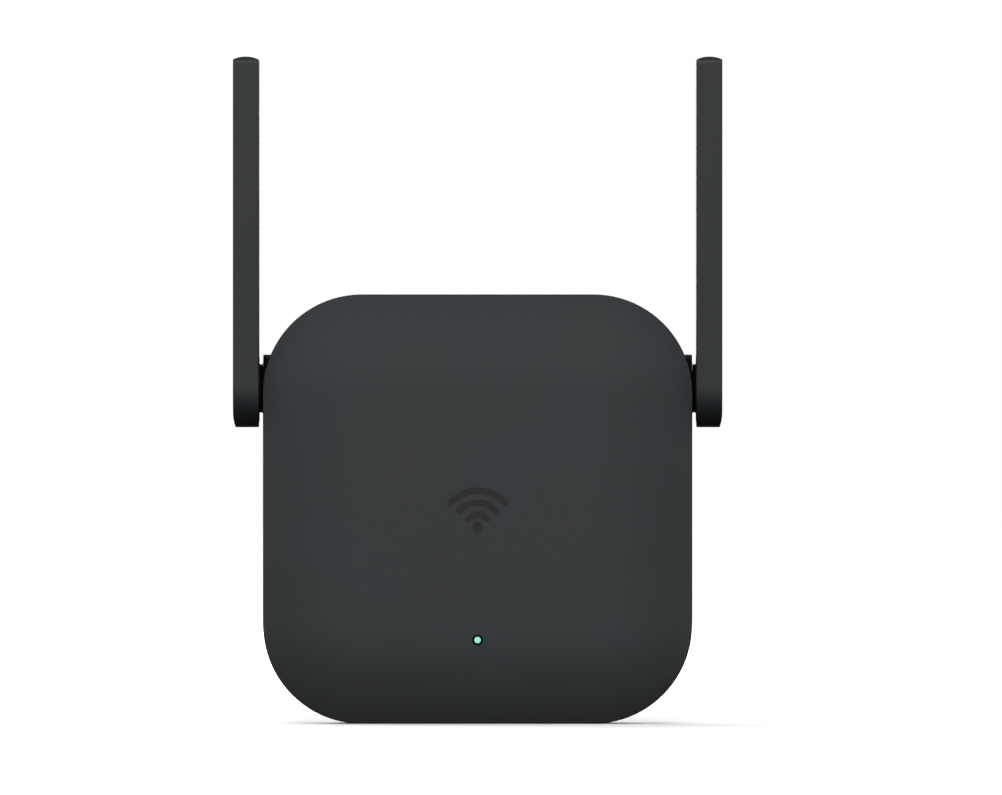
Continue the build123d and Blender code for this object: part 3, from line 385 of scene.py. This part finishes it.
finishes = {
    # Charcoal ABS with a fine etched texture: matt, a little blue, nearly no highlight
    "case": etched_plastic("charcoal_abs_etched", "#1E2225", "#262A2D", 0.80, 0.30, 0.010),
    # The antennas are the same ABS as the case, drawn darker as painted shade and in a finer, silkier
    # texture, so they darken sooner as they roll under
    "antenna": etched_plastic(
        "charcoal_abs_darkened_shade", "#12171A", "#171C1F", 0.60, 0.24, 0.006, {"Specular IOR Level": 0.34}
    ),
    # Glass-filled polyamide: blacker and rougher, since it is the part that has to stand heat
    "plug": etched_plastic("black_glass_filled_polyamide", "#17191A", "#1E2021", 0.70, 0.40, 0.02),
    # Carbon-black acetal for the turning pieces, drawn near black and almost without reflection as painted
    # shade for the narrow gap between the antennas and the case, so only a trace of light returns
    "hinge": etched_plastic(
        "black_acetal_painted_shade", "#030304", "#060607", 0.85, 0.6, 0.004, {"IOR": 1.48, "Specular IOR Level": 0.08}
    ),
    # A separately moulded inlay in a darker shade, which reads only as a slightly darker mark
    "mark": etched_plastic(
        "dark_abs_inlay", "#1A1B1D", "#1E1F21", 0.85, 0.24, 0.006, {"Specular IOR Level": 0.44}
    ),
    # Insulating sleeves on the pins
    "sleeve": polished_plastic("black_pin_sleeve", "#0E0F10", "#151617", 0.38, 3.0),
    # Vinyl or fluoropolymer jackets of the thin leads
    "lead": polished_plastic("extruded_lead_jacket", "#101113", "#191A1C", 0.30, 2.0),
    # Dipped epoxy on the disc capacitor
    "dip": polished_plastic("dipped_blue_epoxy", "#103A80", "#1B4C9A", 0.25, 1.5, {"Coat Weight": 0.5}),
    # Milky insulating film and the reset plunger's natural nylon
    "film": polished_plastic("milky_polyester_film", "#C9C9C2", "#D8D8D2", 0.40, 4.0),
    # The lamp's clear epoxy lens
    "lamp": polished_plastic("clear_epoxy_lamp", "#BFE8D6", "#D6F6E8", 0.20, 1.0),
    # Nickel plate over drawn brass
    "nickel": turned_metal("nickel_plated_brass", "#C4BFB6", "#DDD9D0", 0.36, 0.12),
    # Zinc plate with a clear passivation, over cold-headed steel
    "zinc": turned_metal("zinc_plated_steel", "#8C8F93", "#B0B2B6", 0.42, 0.15),
    # Bright tinned brass straps and sockets
    "tinned_brass": rolled_metal("tinned_brass_strap", "#A89A70", "#C9BC92", 0.30, 0.3),
    # Tinned steel screening sheet
    "tinplate": rolled_metal("tinplate_screen", "#9C9D9C", "#B9BAB9", 0.28, 0.3),
    # Mill-finish aluminium
    "aluminium": rolled_metal("rolled_aluminium", "#A9AAAC", "#C4C5C7", 0.36, 0.4),
    # Etched copper foil
    "copper": rolled_metal("etched_copper_foil", "#A0583A", "#C87850", 0.34, 0.25),
    "board": solder_mask_board(),
    "package": moulded_epoxy(),
    "winding": wound_wire(),
    "ferrite": sintered_ferrite(),
    "can": sleeved_can(),
    "ceramic": fired_ceramic(),
    "label": film_label(),
    "guide": lit_polycarbonate(),
    "pad": powdered_silicone(),
}

pieces_by_finish = {
    "case": ("front_cover", "rear_cover"),
    "antenna": ("left_antenna_shell", "right_antenna_shell", "left_antenna_cover", "right_antenna_cover"),
    "plug": ("plug_block",),
    "hinge": ("hinge_bushes", "left_hinge_post", "right_hinge_post"),
    "mark": ("emblem_inlay",),
    "sleeve": ("pin_sleeves",),
    "lead": ("left_antenna_coax", "right_antenna_coax", "left_coax_lead", "right_coax_lead"),
    "dip": ("y_capacitor",),
    "film": ("insulation_sheet", "reset_plunger"),
    "lamp": ("status_led",),
    "nickel": ("left_plug_pin", "right_plug_pin"),
    "zinc": ("case_screws", "main_board_screws", "power_board_screws", "friction_washers",
             "left_retaining_clip", "right_retaining_clip"),
    "tinned_brass": ("mains_straps", "coax_sockets"),
    "tinplate": ("shield_frame", "shield_can", "crystal", "coax_plugs"),
    "aluminium": ("heat_spreader",),
    "copper": ("left_radiator", "right_radiator"),
    "board": ("power_board", "main_board", "left_element_board", "right_element_board"),
    "package": ("fuse", "bridge_rectifier", "power_controller", "output_diode", "radio_chip", "flash_chip",
                "board_header", "reset_switch_body"),
    "winding": ("inductor_winding", "transformer_coil"),
    "ferrite": ("filter_inductor", "transformer_core", "converter_inductor"),
    "can": ("storage_capacitors", "output_capacitors"),
    "ceramic": ("chip_capacitors",),
    "label": ("rating_label",),
    "guide": ("light_guide",),
    "pad": ("thermal_pad",),
}
for finish, pieces in pieces_by_finish.items():
    for piece in pieces:
        nodes[piece].data.materials[0] = finishes[finish]

# ---- Stage, light and camera ----

front_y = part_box("front_cover")[0].y
base_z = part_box("front_cover")[0].z
body_mid_z = sum(corner.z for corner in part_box("rear_cover")) / 2
FLOOR_REACH = 6.0
PAINTED_SHADOW_INNER_MM, PAINTED_SHADOW_OUTER_MM = 40, 400  # the floor's glow grows between these distances from the origin; the dimmer glow nearer the case is a painted soft shadow
CLOUD_MM = 300


def floor_with_painted_shadow():
    """A white floor that glows evenly white away from the case and fades to no glow close to it, a painted
    soft shadow around the case's foot; there it is left to the lamps and their soft shadow."""
    material = new_material("white_floor_painted_shadow")
    place = place_mm(material)
    cloud = add_node(
        material, "ShaderNodeTexNoise", inputs={"Vector": place, "Scale": 1 / CLOUD_MM, "Detail": 1.0}
    )
    colour = ramp(material, cloud.outputs["Fac"], ((0.3, "#F2F2F2"), (0.7, "#F6F6F6")))
    distance = add_node(material, "ShaderNodeVectorMath", {"operation": "LENGTH"}, {0: place})
    # Painted shadow: the glow is dimmed close to the case and grows to full further out.
    glow = add_node(
        material, "ShaderNodeMapRange", {"interpolation_type": "SMOOTHSTEP"},
        {"Value": distance.outputs["Value"], "From Min": PAINTED_SHADOW_INNER_MM, "From Max": PAINTED_SHADOW_OUTER_MM,
         "To Min": 0.0, "To Max": 1.0},
    )
    surface = add_node(
        material, "ShaderNodeBsdfPrincipled",
        inputs={"Base Color": colour, "Roughness": 1.0, "Specular IOR Level": 0.0,
                "Emission Color": linear("#FFFFFF"), "Emission Strength": glow.outputs[0]},
    )
    add_node(material, "ShaderNodeOutputMaterial", inputs={"Surface": surface.outputs[0]})
    return material


def studio_floor():
    """A flat floor at the foot of the case, with a painted soft shadow around it, which doesn't light the
    object.
    """
    mesh = bpy.data.meshes.new("studio_floor")
    form = bmesh.new()
    corners = ((-1, -1), (1, -1), (1, 1), (-1, 1))
    form.faces.new([form.verts.new((x * FLOOR_REACH, y * FLOOR_REACH, base_z)) for x, y in corners])
    form.to_mesh(mesh)
    form.free()
    floor = bpy.data.objects.new("studio_floor", mesh)
    mesh.materials.append(floor_with_painted_shadow())
    floor.visible_diffuse = False
    floor.visible_glossy = False
    scene.collection.objects.link(floor)


studio_floor()


def soft_box(name, azimuth, elevation, distance, size, power):
    """A soft box aimed at the case from a direction given in degrees; azimuth 0 is the room side."""
    data = bpy.data.lights.new(name, "AREA")
    data.shape = "RECTANGLE"
    data.size, data.size_y = size
    data.energy = power
    lamp = bpy.data.objects.new(name, data)
    target = Vector((0, front_y / 2, body_mid_z))
    away = Vector((0, -distance, 0))
    away.rotate(Euler((radians(-elevation), 0, radians(azimuth))))
    lamp.location = target + away
    lamp.rotation_euler = (-away).to_track_quat("-Z", "Y").to_euler()
    lamp.visible_camera = False
    scene.collection.objects.link(lamp)


# Angles in degrees, distances and sizes in metres, powers in watts.
soft_box("key_box", -4, 36, 1.2, (0.7, 0.5), 8)
soft_box("front_panel", 0, 18, 1.2, (2.0, 1.6), 13.5)
soft_box("right_side_box", 112, 25, 1.5, (0.8, 0.8), 11)
soft_box("left_side_box", -112, 25, 1.5, (0.8, 0.8), 11)
soft_box("back_box", 200, 25, 1.5, (1.8, 1.2), 30)

# The room is white to the eye, and lends the object only a little light of its own.
SEEN_STRENGTH, FILL_STRENGTH = 1.0, 0.06
world = bpy.data.worlds.new("white_room")
world.use_nodes = True
world.node_tree.nodes.clear()
rays = world.node_tree.nodes.new("ShaderNodeLightPath")
shown = world.node_tree.nodes.new("ShaderNodeBackground")
fill = world.node_tree.nodes.new("ShaderNodeBackground")
chosen = world.node_tree.nodes.new("ShaderNodeMixShader")
world_output = world.node_tree.nodes.new("ShaderNodeOutputWorld")
shown.inputs["Strength"].default_value = SEEN_STRENGTH
shown.inputs["Color"].default_value = (1, 1, 1, 1)
fill.inputs["Color"].default_value = (1, 1, 1, 1)
fill.inputs["Strength"].default_value = FILL_STRENGTH
world.node_tree.links.new(rays.outputs["Is Camera Ray"], chosen.inputs["Fac"])
world.node_tree.links.new(fill.outputs[0], chosen.inputs[1])
world.node_tree.links.new(shown.outputs[0], chosen.inputs[2])
world.node_tree.links.new(chosen.outputs[0], world_output.inputs["Surface"])
scene.world = world
scene.view_settings.view_transform = "Standard"

# The camera looks level at the front, a little to the right of and above the case's middle, from far
# enough away that the antennas' inner sides don't show.
SENSOR_WIDTH = 36.0
FRAME_WIDTH = 183.1 * MM
LOOK_X = 4.28 * MM
LOOK_Z = body_mid_z + 20.42 * MM
CAMERA_DISTANCE = 4.0
camera_data = bpy.data.cameras.new("camera")
camera_data.sensor_width = SENSOR_WIDTH
camera_data.lens = SENSOR_WIDTH * CAMERA_DISTANCE / FRAME_WIDTH
camera = bpy.data.objects.new("camera", camera_data)
camera.location = (LOOK_X, front_y - CAMERA_DISTANCE, LOOK_Z)
camera.rotation_euler = (radians(90), 0, 0)
scene.collection.objects.link(camera)
scene.camera = camera
